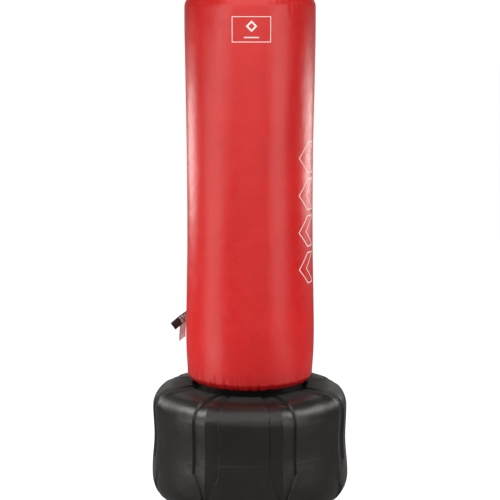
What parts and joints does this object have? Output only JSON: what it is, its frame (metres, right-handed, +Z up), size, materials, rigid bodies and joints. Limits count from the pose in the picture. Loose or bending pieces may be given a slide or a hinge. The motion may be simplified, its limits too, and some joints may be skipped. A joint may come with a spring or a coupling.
{
  "type": "free-standing punching bag",
  "caption": "Padded vinyl punching bag on a fillable moulded plastic base, joined by a sprung neck that lets it lean, with a rear zip, strap and filler cap.",
  "frame": {"origin": "middle of the base's underside, on the floor", "axes": "+Z up along the bag, -Y towards the front face, +X to the right seen from the front"},
  "size_m": [0.5564, 0.5564, 1.419],
  "materials": {
    "tank_plastic": "satin",
    "cap_plastic": "satin",
    "water": "gloss",
    "rubber": "matte",
    "painted_steel": "satin",
    "zinc_steel": "satin",
    "spring_steel": "satin",
    "plywood": "matte",
    "grey_foam": "matte",
    "white_foam": "matte",
    "red_vinyl": "satin",
    "webbing": "matte",
    "pile": "matte",
    "label": "matte"
  },
  "bodies": {
    "base": {"base_tank": "tank_plastic", "ballast_water": "water", "neck_hub": "painted_steel", "hub_screw_1": "zinc_steel", "hub_screw_2": "zinc_steel", "hub_screw_3": "zinc_steel", "hub_screw_4": "zinc_steel", "lower_spring_1": "spring_steel", "lower_spring_2": "spring_steel", "lower_spring_3": "spring_steel", "lower_spring_4": "spring_steel", "lower_buffer": "rubber"},
    "fill_gasket": {"fill_cap_gasket": "rubber"},
    "fill_cap": {"fill_cap": "cap_plastic"},
    "mid_deck": {"mid_plate": "painted_steel", "upper_spring_1": "spring_steel", "upper_spring_2": "spring_steel", "upper_spring_3": "spring_steel", "upper_spring_4": "spring_steel", "upper_buffer": "rubber"},
    "bag": {"post_plate": "painted_steel", "core_post": "zinc_steel", "post_bolt": "zinc_steel", "post_nut": "zinc_steel", "post_cap": "cap_plastic", "bottom_board": "plywood", "foam_core": "grey_foam", "foam_wrap": "white_foam", "top_pad": "white_foam", "cover_body": "red_vinyl", "cover_top": "red_vinyl", "hem_drawcord": "webbing", "zip_tape": "webbing", "strap_anchor": "webbing", "strap_hook_patch": "pile"},
    "zip_slider": {"zip_slider": "zinc_steel"},
    "zip_pull": {"zip_pull": "zinc_steel"},
    "strap": {"closure_strap": "webbing", "strap_pile_patch": "pile", "care_label": "label"}
  },
  "joints": [
    {"name": "neck_lean_side", "type": "hinge", "parent": "base", "child": "mid_deck", "pos_m": [0, 0, 0.3561], "axis": [0, 1, 0], "range_deg": [-6, 6], "stiffness_Nm_per_rad": 900, "deforming": ["lower_spring_1", "lower_spring_2", "lower_spring_3", "lower_spring_4"]},
    {"name": "neck_lean_front", "type": "hinge", "parent": "mid_deck", "child": "bag", "pos_m": [0, 0, 0.4177], "axis": [1, 0, 0], "range_deg": [-6, 6], "stiffness_Nm_per_rad": 900, "deforming": ["upper_spring_1", "upper_spring_2", "upper_spring_3", "upper_spring_4"]},
    {"name": "fill_cap_lift", "type": "slide", "parent": "base", "child": "fill_gasket", "axis": [0, 0, 1], "range_m": [0, 0.0166]},
    {"name": "fill_cap_turn", "type": "hinge", "parent": "fill_gasket", "child": "fill_cap", "pos_m": [0.01329, 0.20557, 0.3016], "axis": [0, 0, 1], "range_deg": [0, 1080]},
    {"name": "zip_slide", "type": "slide", "parent": "bag", "child": "zip_slider", "axis": [0, 0, 1], "range_m": [0, 0.93]},
    {"name": "zip_pull_swing", "type": "hinge", "parent": "zip_slider", "child": "zip_pull", "pos_m": [0, 0.1874, 0.416], "axis": [1, 0, 0], "range_deg": [0, 165]},
    {"name": "strap_peel", "type": "hinge", "parent": "bag", "child": "strap", "pos_m": [-0.0898, 0.15554, 0.52], "axis": [0, 0, -1], "range_deg": [0, 60]}
  ],
  "couplings": [
    {"joint": "fill_cap_lift", "follows": "fill_cap_turn", "m_per_rad": 0.00087535}
  ]
}
